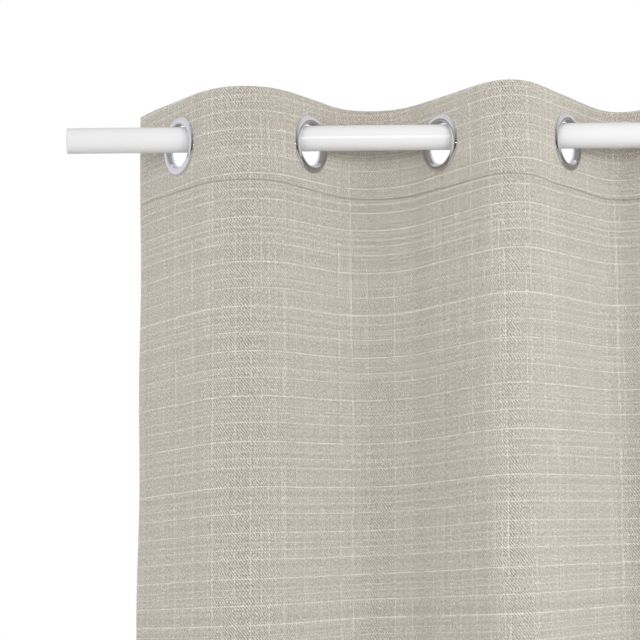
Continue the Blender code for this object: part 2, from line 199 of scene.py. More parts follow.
def cloth_material():
    g = Graph("linen_look_cloth")
    flat = g.node("ShaderNodeUVMap", uv_map="cloth")
    split = g.tree.nodes.new("ShaderNodeSeparateXYZ")
    g.put(split.inputs[0], flat)
    across = split.outputs["X"]
    down = g.math('MULTIPLY_ADD', across, SKEW, split.outputs["Y"])
    # gentle wander of the yarns
    wander = g.math('SUBTRACT', g.noise(g.point(across, down), 9.0, 2.0), 0.5)
    along_weft = g.math('MULTIPLY_ADD', wander, 0.0016, down)
    along_warp = g.math('MULTIPLY_ADD', wander, 0.0024, across)
    weft = g.math('DIVIDE', along_weft, WEFT_GAP)
    warp = g.math('DIVIDE', along_warp, WARP_GAP)
    weft_id = g.math('FLOOR', weft)
    warp_id = g.math('FLOOR', warp)
    weft_round = g.math('SINE', g.times(g.math('FRACT', weft), math.pi))
    warp_round = g.math('SINE', g.times(g.math('FRACT', warp), math.pi))
    weft_tone = g.random(weft_id)
    warp_tone = g.random(g.math('ADD', warp_id, 917.0))
    weft_run = g.noise(g.point(g.times(across, 150.0), g.times(weft_id, 3.71)), 1.0, 2.0, 0.6)
    warp_run = g.noise(g.point(g.times(warp_id, 5.13), g.times(down, 130.0)), 1.0, 2.0, 0.6)
    spot = g.node("ShaderNodeTexWhiteNoise", {"Vector": g.point(warp_id, weft_id)},
                  noise_dimensions='2D')
    # broken twill: each yarn floats over two and under two, and the step changes in patches
    patch = g.math('FLOOR', g.times(g.noise(g.point(across, down), 55.0, 2.0, 0.6), 7.0))
    skip = g.random(g.math('ADD', weft_id, 333.0))
    step = g.math('ADD', patch, g.math('GREATER_THAN', skip, 0.86))
    float_id = g.math('ADD', g.math('SUBTRACT', warp_id, weft_id), step)
    parity = g.math('LESS_THAN', g.math('FLOORED_MODULO', float_id, 4.0), 1.5)
    height_weft = g.times(weft_round, g.math('MULTIPLY_ADD', parity, 0.62, 0.38))
    height_warp = g.times(warp_round, g.math('SUBTRACT', 1.0, g.times(parity, 0.62)))
    height = g.math('MAXIMUM', height_weft, height_warp)
    shows_weft = g.spread(g.math('SUBTRACT', height_weft, height_warp), -0.12, 0.12)
    weft_value = g.math('ADD', g.times(weft_tone, 0.34), g.times(weft_run, 0.66))
    warp_value = g.math('ADD', g.times(warp_tone, 0.40), g.times(warp_run, 0.60))
    weft_colour = g.mix(g.spread(weft_value, 0.22, 0.78), (0.572, 0.531, 0.468, 1),
                        (0.925, 0.885, 0.822, 1))
    warp_colour = g.mix(g.spread(warp_value, 0.22, 0.78), (0.150, 0.136, 0.108, 1),
                        (0.400, 0.370, 0.318, 1))
    # a few uneven ivory warps
    odd = g.spread(g.random(g.math('ADD', warp_id, 71.0)), 0.885, 0.945)
    run = g.noise(g.point(g.times(warp_id, 9.1), g.times(down, 26.0)), 1.0, 2.0)
    upright = g.times(g.times(odd, g.spread(run, 0.42, 0.56)), 0.95)
    warp_colour = g.mix(upright, warp_colour, (0.850, 0.815, 0.755, 1))

    # thick ivory wefts at set places in the weave's repeat
    start = g.math('SUBTRACT', along_weft, FIRST_LINE)
    place = g.math('FLOORED_MODULO', start, REPEAT)
    turn = g.math('FLOOR', g.math('DIVIDE', g.math('ADD', start, REPEAT / 3), REPEAT))
    slub = 0.0
    for number, (offset, strength) in enumerate(IVORY_WEFTS):
        near = g.math('ABSOLUTE', g.math('SUBTRACT', place, offset))
        thick = g.noise(g.point(g.times(across, 60.0),
                                g.math('MULTIPLY_ADD', turn, 7.7, 3.1 * (number % 4))),
                        1.0, 3.0, 0.65)
        wide = g.spread(thick, 0.30, 0.70, 0.00042, 0.00070)
        line = g.spread(g.math('DIVIDE', near, wide), 0.65, 1.0, 1.0, 0.0, 'SMOOTHSTEP')
        shown = g.spread(thick, 0.30, 0.55, 0.30, 1.0)
        slub = g.math('MAXIMUM', slub, g.times(g.times(line, shown), strength))
    dotted = g.times(slub, g.math('MULTIPLY_ADD', shows_weft, 0.45, 0.45))
    # painted shade: a thin dark line along the header's needle line, where its crease falls in
    # shadow
    seam_shade = g.math('ABSOLUTE', g.math('SUBTRACT', split.outputs["Y"], HEADER - SEAM_IN))
    seam_shade = g.spread(seam_shade, 0.0004, 0.0011, 1.0, 0.0, 'SMOOTHSTEP')

    colour = g.mix(shows_weft, warp_colour, weft_colour)
    # painted shade: the yarns darkened toward their rounded sides and in the low places between
    # them, by the weave's height
    colour = g.mix(g.times(g.math('SUBTRACT', 1.0, g.spread(height, 0.18, 0.55)), 0.40),
                   colour, (0.23, 0.20, 0.16, 1))
    colour = g.mix(g.times(spot, 0.24), colour, (0.34, 0.305, 0.25, 1))
    # short thick and thin places in the yarns
    grain = g.noise(g.point(g.times(across, 470.0), g.times(down, 430.0)), 1.0, 2.0, 0.7)
    colour = g.mix(g.spread(grain, 0.40, 0.66, 0.0, 0.42), colour, (0.250, 0.228, 0.190, 1))
    colour = g.mix(g.spread(grain, 0.52, 0.30, 0.0, 0.36), colour, (0.850, 0.815, 0.755, 1))
    colour = g.mix(g.times(dotted, 0.90), colour, (0.855, 0.835, 0.785, 1))
    # painted shade of the header's crease, darkening the colour along the needle line
    colour = g.mix(g.times(seam_shade, 0.75), colour, (0.20, 0.170, 0.13, 1))
    shade = g.noise(g.point(across, down), 4.0, 3.0)
    colour = g.mix(g.spread(shade, 0.3, 0.7, 0.0, 0.05), colour, (0.62, 0.54, 0.45, 1))
    mottle = g.noise(g.point(across, down), 70.0, 3.0, 0.6)
    rise = g.math('ADD', height, g.math('ADD', g.times(slub, 0.8), g.times(upright, 0.5)))
    normal = g.bump(rise, 0.00018, 0.5)
    normal = g.bump(mottle, 0.0005, 0.3, normal)
    return g.finish(Base_Color=colour, Roughness=g.spread(height, 0.2, 0.9, 0.95, 0.84),
                    Diffuse_Roughness=1.0, Specular_IOR_Level=0.2, Sheen_Weight=0.22,
                    Sheen_Roughness=0.6, Sheen_Tint=(1.0, 0.95, 0.88, 1.0), Normal=normal)


def coat_material(name, base, rough, peel):
    g = Graph(name)
    place = g.node("ShaderNodeTexCoord", output="Object")
    grain = g.noise(place, 900.0, 3.0, 0.6)
    broad = g.noise(place, 14.0, 2.0)
    dark = tuple(c * 0.975 for c in base)
    colour = g.mix(g.spread(broad, 0.3, 0.7), (*base, 1), (*dark, 1))
    roughness = g.spread(broad, 0.3, 0.7, rough - 0.03, rough + 0.04)
    return g.finish(Base_Color=colour, Roughness=roughness, Specular_IOR_Level=0.5,
                    Normal=g.bump(grain, peel, 0.5))


def metal_material(name, base, rough, scratch):
    g = Graph(name)
    place = g.node("ShaderNodeTexCoord", output="Object")
    broad = g.noise(place, 60.0, 3.0, 0.55)
    fine = g.noise(place, 1400.0, 2.0, 0.6)
    dark = tuple(c * 0.93 for c in base)
    colour = g.mix(g.spread(broad, 0.3, 0.7), (*base, 1), (*dark, 1))
    roughness = g.math('MULTIPLY_ADD', fine, scratch, g.spread(broad, 0.3, 0.7, rough, rough * 1.5))
    return g.finish(Base_Color=colour, Metallic=1.0, Roughness=roughness,
                    Normal=g.bump(broad, 0.00006, 0.5))


CLOTH_MAT = cloth_material()
COAT_MAT = coat_material("white_powder_coat", (0.715, 0.712, 0.718), 0.20, 0.00003)
PLASTIC_MAT = coat_material("white_plastic", (0.735, 0.73, 0.725), 0.42, 0.00002)
CHROME_MAT = metal_material("polished_chrome", (0.80, 0.80, 0.83), 0.05, 0.02)
STEEL_MAT = metal_material("zinc_plated_steel", (0.62, 0.63, 0.64), 0.26, 0.10)


def thread_material():
    g = Graph("sewing_thread")
    place = g.node("ShaderNodeTexCoord", output="Object")
    tone = g.noise(place, 1500.0, 2.0)
    colour = g.mix(tone, (0.50, 0.465, 0.405, 1), (0.66, 0.625, 0.56, 1))
    return g.finish(Base_Color=colour, Roughness=0.75, Specular_IOR_Level=0.3,
                    Normal=g.bump(tone, 0.00008, 0.6))


THREAD_MAT = thread_material()

# ---------------- folds in plan
FLAT = FLANGE_R + 0.002              # the cloth stays flat this far from an eyelet's centre
STEPS = 900                          # points along a half fold
MARGIN_POWER = 1.3                   # how late the side margins turn


def bend_path(length, straight, power, start=FLANK, end=0.0):
    """x and y along a half fold that starts straight and turns to its crest."""
    run = (np.arange(STEPS) + 0.5) / STEPS * length
    turn = np.clip((run - straight) / (length - straight), 0.0, 1.0) ** power
    angle = start + (end - start) * turn
    step = length / STEPS
    x = np.concatenate(([0.0], np.cumsum(np.cos(angle)) * step))
    y = np.concatenate(([0.0], np.cumsum(np.sin(angle)) * step))
    return x, y


def solve_power(length, straight, reach, start=FLANK):
    """Power for which a half fold of that length reaches that far along the rod."""
    low, high = 0.25, 12.0
    for _ in range(34):
        power = math.sqrt(low * high)
        x, y = bend_path(length, straight, power, start)
        if x[-1] > reach:
            low = power
        else:
            high = power
    return power


def solve_half(reach, depth, straight):
    """Length and power of a half fold that reaches so far and so deep."""
    low, high = math.hypot(reach, depth), reach + depth
    for _ in range(34):
        length = (low + high) / 2
        power = solve_power(length, straight, reach)
        x, y = bend_path(length, straight, power)
        if y[-1] < depth:
            low = length
        else:
            high = length
    return length, power


HALVES = []                          # cloth length from eyelet line to crest, for each fold
for k in range(EYELETS - 1):
    pitch = EYELET_X[k + 1] - EYELET_X[k]
    HALVES.append(solve_half(pitch / 2, DEPTHS[k], FLAT)[0])


def solve_margin(reach, depth):
    """Length and turn of a side margin that ends so far along and so deep."""
    low, high = math.hypot(reach, depth), reach + depth
    for _ in range(30):
        length = (low + high) / 2
        a, b = 0.2, 1.7
        for _ in range(30):
            end = (a + b) / 2
            x, y = bend_path(length, FLAT, MARGIN_POWER, FLANK, end)
            if x[-1] > reach:
                a = end
            else:
                b = end
        if y[-1] < depth:
            low = length
        else:
            high = length
    return length, end


LEFT_REACH = EYELET_X[0] - EDGE_LEFT[0].x - HALF_CLOTH
LEFT_DEPTH = EDGE_LEFT[1].y - ROD_Y - HALF_CLOTH
MARGIN, MARGIN_END = solve_margin(LEFT_REACH, LEFT_DEPTH)

# ---------------- cloth grid
# columns: distance along the cloth from the left edge, with a column on each eyelet line
RING_S = [MARGIN]
for half in HALVES:
    RING_S.append(RING_S[-1] + 2 * half)
FLAT_WIDTH = RING_S[-1] + MARGIN
BASE_THICK = 0.00062
LAYER = 0.00050


def spaced(low, high, gap):
    count = max(1, int(round((high - low) / gap)))
    return list(np.linspace(low, high, count + 1))


def around(place):
    return [place - 0.0010, place - 0.00045, place, place + 0.00045, place + 0.0010]


EDGE = [0.0, 0.0003, 0.0009]         # close to a cut edge, where the cloth rounds over
CLEAR = 0.0035                       # from an edge or a seam to the even spacing
COLUMN_GAP = 0.0043


def cloth_columns():
    hem = EDGE + spaced(CLEAR, SIDE_HEM - CLEAR, 0.0045) + around(SIDE_HEM)
    places = hem + spaced(SIDE_HEM + CLEAR, RING_S[0], COLUMN_GAP)
    for a, b in zip(RING_S[:-1], RING_S[1:]):
        places += spaced(a, b, COLUMN_GAP)[1:]
    places += spaced(RING_S[-1], FLAT_WIDTH - SIDE_HEM - CLEAR, COLUMN_GAP)[1:]
    return np.array(places + [FLAT_WIDTH - p for p in hem[::-1]])


def cloth_rows():
    places = EDGE + spaced(CLEAR, HEADER - 0.0032, 0.0042) + around(HEADER)
    hem = PANEL_LENGTH - BOTTOM_HEM
    places += spaced(HEADER + CLEAR, hem - CLEAR, 0.0082) + around(hem)
    places += spaced(hem + CLEAR, PANEL_LENGTH - CLEAR, 0.0078)
    return np.array(places + [PANEL_LENGTH - p for p in EDGE[::-1]])


COLS = cloth_columns()
ROWS = cloth_rows()
RING_COL = [int(np.argmin(np.abs(COLS - s))) for s in RING_S]


def level_plan(v):
    """Plan positions of all columns at one distance v below the panel's top edge."""
    loose = float(smooth(v, HEADER * 0.8, 0.75))
    low = float(smooth(v, 0.25, PANEL_LENGTH))
    xs, ys = [], []
    for k, x in enumerate(EYELET_X):
        sway = waves(v, 100 + k, 1.9, 2) - waves(0.0, 100 + k, 1.9, 2)
        deep = waves(v, 200 + k, 1.7, 2) - waves(0.0, 200 + k, 1.7, 2)
        flare = (k - (EYELETS - 1) / 2) / ((EYELETS - 1) / 2)
        xs.append(x + loose * (0.0045 * float(sway)) + low * 0.010 * flare)
        ys.append(ROD_Y + loose * 0.0035 * float(deep))
    tilt = (FLANK - loose * math.radians(2.5)
            + loose * math.radians(1.5) * float(waves(v, 31, 1.4, 2)))
    straight = FLAT * (1 - 0.62 * loose)
    px, py = np.zeros(len(COLS)), np.zeros(len(COLS))
    for k in range(EYELETS - 1):
        front = -1 if k % 2 == 0 else 1
        a, b = RING_COL[k], RING_COL[k + 1]
        spots = COLS[a:b + 1] - RING_S[k]
        length = HALVES[k]
        # the crest wanders sideways within the cloth's own length
        share = 0.5 + loose * 0.012 * float(waves(v, 300 + k, 1.5, 2))
        span = xs[k + 1] - xs[k]
        turn = tilt * (1 + 0.03 * loose * float(waves(v, 400 + k, 1.2, 2)))
        power = solve_power(length, straight, span / 2, turn)
        x, y = bend_path(length, straight, power, turn)
        run = np.linspace(0, length, STEPS + 1)
        near = np.minimum(spots, 2 * length - spots)
        half_x, half_y = np.interp(near, run, x), np.interp(near, run, y)
        along = np.where(spots <= length, half_x, span - half_x)
        lean = (share - 0.5) * span * smooth(half_y / y[-1], 0.15, 1.0)
        base = np.interp(spots, [0, 2 * length], [ys[k], ys[k + 1]])
        px[a:b + 1] = xs[k] + along + lean
        py[a:b + 1] = base + front * half_y
    for side, ring, sign in ((0, 0, -1), (1, EYELETS - 1, 1)):
        end = MARGIN_END - loose * 0.10 + loose * 0.06 * float(waves(v, 500 + side, 1.3, 2))
        x, y = bend_path(MARGIN, straight, MARGIN_POWER, tilt, end)
        run = np.linspace(0, MARGIN, STEPS + 1)
        if side == 0:
            part = slice(0, RING_COL[0] + 1)
            spots = RING_S[0] - COLS[part]
            back = 1
        else:
            part = slice(RING_COL[-1], len(COLS))
            spots = COLS[part] - RING_S[-1]
            back = -1 if EYELETS % 2 else 1
        px[part] = xs[ring] + sign * np.interp(spots, run, x)
        py[part] = ys[ring] + back * np.interp(spots, run, y)
    return px, py


levels = np.concatenate((np.linspace(0, 0.12, 4), np.linspace(0.16, PANEL_LENGTH, 30)))
plans = [level_plan(v) for v in levels]
plan_x = np.array([p[0] for p in plans])
plan_y = np.array([p[1] for p in plans])


def cubic_rows(values):
    """Values at the control levels, carried smoothly to every row of the cloth."""
    slopes = np.gradient(values, levels, axis=0)
    index = np.clip(np.searchsorted(levels, ROWS, side="right") - 1, 0, len(levels) - 2)
    gap = (levels[index + 1] - levels[index])[:, None]
    t = ((ROWS - levels[index])[:, None]) / gap
    a, b = values[index], values[index + 1]
    sa, sb = slopes[index] * gap, slopes[index + 1] * gap
    return ((2 * t ** 3 - 3 * t ** 2 + 1) * a + (t ** 3 - 2 * t ** 2 + t) * sa
            + (-2 * t ** 3 + 3 * t ** 2) * b + (t ** 3 - t ** 2) * sb)


MIDDLE = np.stack((cubic_rows(plan_x), cubic_rows(plan_y),
                   np.repeat((PANEL_TOP - ROWS)[:, None], len(COLS), axis=1)), axis=2)


def grid_normals(grid, facing=-1):
    """Unit normals of a grid of points, on the room's side (-1) or the wall's side (1)."""
    across = np.gradient(grid, COLS, axis=1)
    down = np.gradient(grid, ROWS, axis=0)
    normal = np.cross(down, across)
    normal = normal / np.linalg.norm(normal, axis=2, keepdims=True)
    return -normal if normal[5, 20, 1] * facing < 0 else normal


SS, VV = np.meshgrid(COLS, ROWS)
NORMAL = grid_normals(MIDDLE)

# soft unevenness of hanging cloth, none where the eyelets hold it
from_ring = np.min([np.hypot(SS - s, VV - (PANEL_TOP - EYELET_Z)) for s in RING_S], axis=0)
free = smooth(from_ring, FLAT, FLAT + 0.03)
uneven = np.zeros_like(SS)
turn = np.random.default_rng(11)
for _ in range(46):
    long_v = turn.uniform(0.16, 0.60)
    long_s = turn.uniform(0.05, 0.20)
    slant = turn.uniform(-0.35, 0.35)
    uneven += np.sin(2 * math.pi * ((VV + slant * SS) / long_v + turn.uniform())) * np.sin(
        2 * math.pi * ((SS - slant * 0.3 * VV) / long_s + turn.uniform())) * (long_s / 0.1)
uneven *= 0.00033 * free * (0.35 + 0.65 * smooth(VV, 0.08, 0.9))
MIDDLE = MIDDLE + NORMAL * uneven[..., None]
NORMAL = grid_normals(MIDDLE)


def seam_dip(distance, depth):
    """Groove of a sewn line with the cloth swelling slightly on both sides."""
    return -depth * np.exp(-(distance / 0.0008) ** 2) + depth * 0.35 * np.exp(
        -((np.abs(distance) - 0.0030) / 0.0022) ** 2)


HEM_V = PANEL_LENGTH - BOTTOM_HEM
side = np.minimum(SS, FLAT_WIDTH - SS)
dip = seam_dip(VV - HEADER + SEAM_IN, 0.00050) + seam_dip(VV - HEM_V - SEAM_IN, 0.00045)
dip += seam_dip(side - SIDE_HEM + SEAM_IN, 0.00028)
pucker = 1 + 0.25 * np.sin(2 * math.pi * SS / 0.0137) * np.sin(2 * math.pi * SS / 0.051 + 1)
FRONT = MIDDLE + NORMAL * (HALF_CLOTH + dip * pucker * free)[..., None]
thick = BASE_THICK + (VV < HEADER + 1e-5) * 2 * LAYER + (VV > HEM_V - 1e-5) * 2 * LAYER
thick = thick + (side < SIDE_HEM + 1e-5) * 1.5 * LAYER * (VV > HEADER)
thick = np.where(VV < HEADER + 1e-5, CLOTH + (side < SIDE_HEM + 1e-5) * 0.4 * LAYER, thick)
BACK = MIDDLE + NORMAL * (HALF_CLOTH - thick + 0.6 * dip * pucker * free)[..., None]

# the outermost row and column lie between the two faces, which rounds the edges
for part in (np.s_[0, :], np.s_[-1, :], np.s_[:, 0], np.s_[:, -1]):
    middle = (FRONT[part] + BACK[part]) / 2
    FRONT[part] = middle
    BACK[part] = middle


FRONT_N = grid_normals(FRONT)
BACK_N = grid_normals(BACK, 1)
across = np.gradient(MIDDLE, COLS, axis=1)
across /= np.linalg.norm(across, axis=2, keepdims=True)
for part, way in ((np.s_[:, 0], -across[:, 0]), (np.s_[:, -1], across[:, -1])):
    FRONT_N[part] = way
    BACK_N[part] = way
FRONT_N[0, :] = BACK_N[0, :] = (0, 0, 1)
FRONT_N[-1, :] = BACK_N[-1, :] = (0, 0, -1)

HOLE_R = 0.0246


def cloth_piece(name, a, b):
    """Closed sheet between two columns, with half a hole where it meets an eyelet line."""
    rows, cols = len(ROWS), b - a + 1
    s, v = SS[:, a:b + 1].copy(), VV[:, a:b + 1].copy()
    front, back = FRONT[:, a:b + 1].copy(), BACK[:, a:b + 1].copy()
    cell_s = (s[:-1, :-1] + s[1:, 1:]) / 2
    cell_v = (v[:-1, :-1] + v[1:, 1:]) / 2
    hole_v = PANEL_TOP - EYELET_Z
    keep = np.ones(cell_s.shape, bool)
    for ring in RING_S:
        keep &= np.hypot(cell_s - ring, cell_v - hole_v) > HOLE_R
    ids = np.arange(rows * cols).reshape(rows, cols)
    outer = np.zeros((rows, cols), bool)
    outer[0, :] = outer[-1, :] = True
    if a == 0:
        outer[:, 0] = True
    if b == len(COLS) - 1:
        outer[:, -1] = True
    other = np.where(outer, ids, ids + rows * cols)
    corners = [(slice(0, -1), slice(0, -1)), (slice(0, -1), slice(1, None)),
               (slice(1, None), slice(1, None)), (slice(1, None), slice(0, -1))]
    front_faces = np.stack([ids[c][keep] for c in corners[::-1]], axis=1)
    back_faces = np.stack([other[c][keep] for c in corners], axis=1)
    # walls along every open edge of the kept cells that isn't an outer edge
    count = {}
    for face in front_faces:
        for i in range(4):
            p, q = int(face[i]), int(face[(i + 1) % 4])
            if (q, p) in count:
                del count[(q, p)]
            else:
                count[(p, q)] = True
    flat_other = other.ravel()
    walls = [(q, p, int(flat_other[p]), int(flat_other[q])) for p, q in count
             if flat_other[p] != p or flat_other[q] != q]
    # draw the hole's edge onto a circle
    edge_ids = sorted({i for edge in count for i in edge})
    fs, fv = s.ravel(), v.ravel()
    move = {}
    for i in edge_ids:
        for ring in RING_S:
            r = math.hypot(fs[i] - ring, fv[i] - hole_v)
            if 0.019 < r < 0.0292:
                move[i] = (ring, r)
    points = np.concatenate((front.reshape(-1, 3), back.reshape(-1, 3)))
    for i, (ring, r) in move.items():
        away = (HOLE_R - r) / r
        column, row = i % cols, i // cols
        step_s = (fs[i] - ring) * away
        step_v = (fv[i] - hole_v) * away
        tangent = across[row, a + column]
        shift = tangent * step_s + np.array((0.0, 0.0, -step_v))
        if column in (0, cols - 1) and abs(fs[i] - ring) < 1e-6:
            shift = np.array((0.0, 0.0, -step_v))
        points[i] += shift
        points[i + rows * cols] += shift
    normals = np.concatenate((FRONT_N[:, a:b + 1].reshape(-1, 3),
                              BACK_N[:, a:b + 1].reshape(-1, 3)))
    uv = np.stack((np.tile(fs, 2), np.tile(fv, 2)), axis=1)
    faces = [tuple(int(i) for i in f) for f in front_faces]
    faces += [tuple(int(i) for i in f) for f in back_faces]
    for wall in walls:
        ring = []
        for i in wall:
            if i not in ring:
                ring.append(i)
        faces.append(tuple(ring))
    used = np.unique(np.concatenate([np.array(f) for f in faces]))
    renumber = -np.ones(len(points), int)
    renumber[used] = np.arange(len(used))
    faces = [tuple(int(renumber[i]) for i in f) for f in faces]
    obj = mesh_object(name, points[used], faces, CLOTH_MAT)
    mesh = obj.data
    layer = mesh.uv_layers.new(name="cloth")
    loops = np.zeros(len(mesh.loops), int)
    mesh.loops.foreach_get("vertex_index", loops)
    layer.data.foreach_set("uv", uv[used][loops].astype(np.float32).ravel())
    mesh.normals_split_custom_set_from_vertices([tuple(n) for n in normals[used]])
    return obj


# ---------------- stitching
STITCH = 0.0034
STITCH_R = 0.00021


def sample(grid, s, v):
    """Point or direction of a cloth grid at flat places s, v."""
    i = np.clip(np.searchsorted(COLS, s) - 1, 0, len(COLS) - 2)
    j = np.clip(np.searchsorted(ROWS, v) - 1, 0, len(ROWS) - 2)
    fs = ((s - COLS[i]) / (COLS[i + 1] - COLS[i]))[:, None]
    fv = ((v - ROWS[j]) / (ROWS[j + 1] - ROWS[j]))[:, None]
    return ((grid[j, i] * (1 - fs) + grid[j, i + 1] * fs) * (1 - fv)
            + (grid[j + 1, i] * (1 - fs) + grid[j + 1, i + 1] * fs) * fv)


def stitch_line(s, v, runs_down):
    """Short thread arches centred on the flat places s, v, on both faces of the cloth."""
    points, faces = [], []
    around_count, along_count = 6, 5
    for grid, normals, facing in ((FRONT, FRONT_N, 1), (BACK, BACK_N, -1)):
        spot = sample(grid, s, v)
        out = sample(normals, s, v)
        out /= np.linalg.norm(out, axis=1, keepdims=True)
        ahead = sample(grid, s, v + 0.001) - sample(grid, s, v - 0.001) if runs_down else (
            sample(grid, s + 0.001, v) - sample(grid, s - 0.001, v))
        ahead /= np.linalg.norm(ahead, axis=1, keepdims=True)
        beside = np.cross(out, ahead)
        base = len(points)
        for n in range(len(s)):
            start = base + n * around_count * along_count
            for i in range(along_count):
                u = -1 + 2 * i / (along_count - 1)
                radius = STITCH_R * (0.45 if abs(u) > 0.99 else 1.0)
                rise = STITCH_R * (0.9 - 1.9 * u * u)
                for j in range(around_count):
                    angle = 2 * math.pi * j / around_count
                    points.append(spot[n] + ahead[n] * (u * STITCH * 0.40)
                                  + beside[n] * (radius * math.cos(angle))
                                  + out[n] * (rise + radius * math.sin(angle)))
            for i in range(along_count - 1):
                for j in range(around_count):
                    after = (j + 1) % around_count
                    row, above = start + i * around_count, start + (i + 1) * around_count
                    faces.append((row + j, row + after, above + after, above + j))
            faces.append(tuple(start + j for j in range(around_count))[::-1])
            last = start + (along_count - 1) * around_count
            faces.append(tuple(last + j for j in range(around_count)))
    return points, faces


def stitching(name, a, b):
    low, high = COLS[a], COLS[b]
    points, faces = [], []
    lines = []
    count = int(round(FLAT_WIDTH / STITCH))
    places = (np.arange(count) + 0.5) / count * FLAT_WIDTH
    places = places[(places >= low) & (places < high) & (places > 0.004)
                    & (places < FLAT_WIDTH - 0.004)]
    lines.append((places, np.full(len(places), HEADER - SEAM_IN), False))
    lines.append((places, np.full(len(places), HEM_V + SEAM_IN), False))
    for edge, at_end in ((SIDE_HEM - SEAM_IN, a == 0),
                         (FLAT_WIDTH - SIDE_HEM + SEAM_IN, b == len(COLS) - 1)):
        if at_end:
            down = np.arange(HEADER + 0.004, HEM_V - 0.002, STITCH)
            lines.append((np.full(len(down), edge), down, True))
    for s, v, runs_down in lines:
        more_points, more_faces = stitch_line(s, v, runs_down)
        faces += [tuple(i + len(points) for i in face) for face in more_faces]
        points += more_points
    return mesh_object(name, points, faces, THREAD_MAT)


for k in range(EYELETS - 1):
    a = 0 if k == 0 else RING_COL[k]
    b = len(COLS) - 1 if k == EYELETS - 2 else RING_COL[k + 1]
    cloth = cloth_piece("panel_cloth_%d" % (k + 1), a, b)
    sewn = stitching("panel_stitching_%d" % (k + 1), a, b)
    for obj in (cloth, sewn):
        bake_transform(obj)
    nodes = ["panel_strip_%d_right" % (k + 1), "panel_strip_%d_left" % (k + 2)]
    if k == 0:
        nodes.append("panel_strip_1_left")
    if k == EYELETS - 2:
        nodes.append("panel_strip_%d_right" % EYELETS)
    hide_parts(*nodes)


# ---------------- turned parts
def lathe(profile, sides, closed):
    """Points and faces of a solid of revolution about local Z from (radius, height) points."""
    points, faces = [], []
    for radius, z in profile:
        for i in range(sides):
            angle = 2 * math.pi * i / sides
            points.append((radius * math.cos(angle), radius * math.sin(angle), z))
    rows = len(profile)
    for i in range(rows if closed else rows - 1):
        here, there = i * sides, ((i + 1) % rows) * sides
        for j in range(sides):
            after = (j + 1) % sides
            faces.append((here + j, here + after, there + after, there + j))
    if not closed:
        faces.append(tuple(range(sides))[::-1])
        faces.append(tuple((rows - 1) * sides + i for i in range(sides)))
    return points, faces


def softened(profile, radius, closed, steps=4):
    """The profile with its corners rounded to a small radius."""
    rounded = []
    count = len(profile)
    for i, spot in enumerate(profile):
        if not closed and i in (0, count - 1):
            rounded.append(spot)
            continue
        here = np.array(spot[:2])
        before = np.array(profile[i - 1][:2]) - here
        after = np.array(profile[(i + 1) % count][:2]) - here
        want = spot[2] if len(spot) > 2 else radius
        reach = min(want, np.linalg.norm(before) * 0.45, np.linalg.norm(after) * 0.45)
        start = here + before / np.linalg.norm(before) * reach
        end = here + after / np.linalg.norm(after) * reach
        for step in range(steps + 1):
            t = step / steps
            p = start * (1 - t) ** 2 + here * 2 * t * (1 - t) + end * t ** 2
            rounded.append((float(p[0]), float(p[1])))
    return rounded


def turned_piece(name, profile, matrix, material, sides=96, closed=False):
    points, faces = lathe(profile, sides, closed)
    obj = mesh_object(name, points, faces, material)
    obj.data.transform(matrix)
    finish_mesh(obj)
    return obj


def finish_mesh(obj):
    """Normals outward, smooth shading and sharp corners."""
    bm = bmesh.new()
    bm.from_mesh(obj.data)
    bmesh.ops.recalc_face_normals(bm, faces=bm.faces)
    bm.to_mesh(obj.data)
    bm.free()
    obj.data.shade_smooth()
    obj.data.set_sharp_from_angle(angle=math.radians(48))


def eyelet_matrix(k):
    lean = 1 if k % 2 == 0 else -1
    normal = Vector((-lean * math.sin(FLANK), -math.cos(FLANK), 0.0))
    up = Vector((0.0, 0.0, 1.0))
    turn = Matrix((up.cross(normal), up, normal)).transposed().to_4x4()
    return Matrix.Translation((EYELET_X[k], ROD_Y, EYELET_Z)) @ turn


FACE = HALF_CLOTH + GAP              # flange's seat above the cloth's middle
R = THROAT_R
FRONT_PROFILE = [
    (FLANGE_R - 0.0005, FACE, 0.0002), (FLANGE_R, FACE + 0.0003, 0.0003),
    (FLANGE_R, FACE + 0.0008, 0.0006), (FLANGE_R - 0.0007, FACE + 0.0015, 0.0007),
    (FLANGE_R - 0.0022, FACE + 0.0019, 0.0012), (FLANGE_R - 0.0042, FACE + 0.0020, 0.0012),
    (FLANGE_R - 0.0056, FACE + 0.0019, 0.0003), (FLANGE_R - 0.0060, FACE + 0.0015, 0.0002),
    (FLANGE_R - 0.0064, FACE + 0.0017, 0.0002), (FLANGE_R - 0.0069, FACE + 0.0013, 0.0005),
    (R + 0.0012, FACE - 0.0004, 0.0006), (R + 0.0007, FACE - 0.0008, 0.0003),
    (R + 0.0001, FACE - 0.0022, 0.0008), (R + 0.0004, -0.0025, 0.0008),
    (R + 0.0009, -0.0034, 0.0002), (NECK_R, -0.0033, 0.0002), (NECK_R, FACE, 0.0002),
]
BORE = NECK_R + GAP
BACK_PROFILE = [
    (BORE, -FACE, 0.0002), (FLANGE_R - 0.0004, -FACE, 0.0002), (FLANGE_R, -FACE - 0.0003, 0.0003),
    (FLANGE_R - 0.0003, -FACE - 0.0010, 0.0007), (FLANGE_R - 0.0020, -FACE - 0.0021, 0.0014),
    (FLANGE_R - 0.0042, -FACE - 0.0026, 0.0012), (BORE + 0.0011, -FACE - 0.0025, 0.0006),
    (BORE, -FACE - 0.0019, 0.0004),
]
for k in range(EYELETS):
    for word, profile in (("front", FRONT_PROFILE), ("back", BACK_PROFILE)):
        ring = turned_piece("eyelet_%s_ring_%d" % (word, k + 1), softened(profile, 0.0003, True),
                            eyelet_matrix(k), CHROME_MAT, 112, True)
        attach(ring, "eyelet_%d" % (k + 1))
        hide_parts("eyelet_%s_%d" % (word, k + 1))

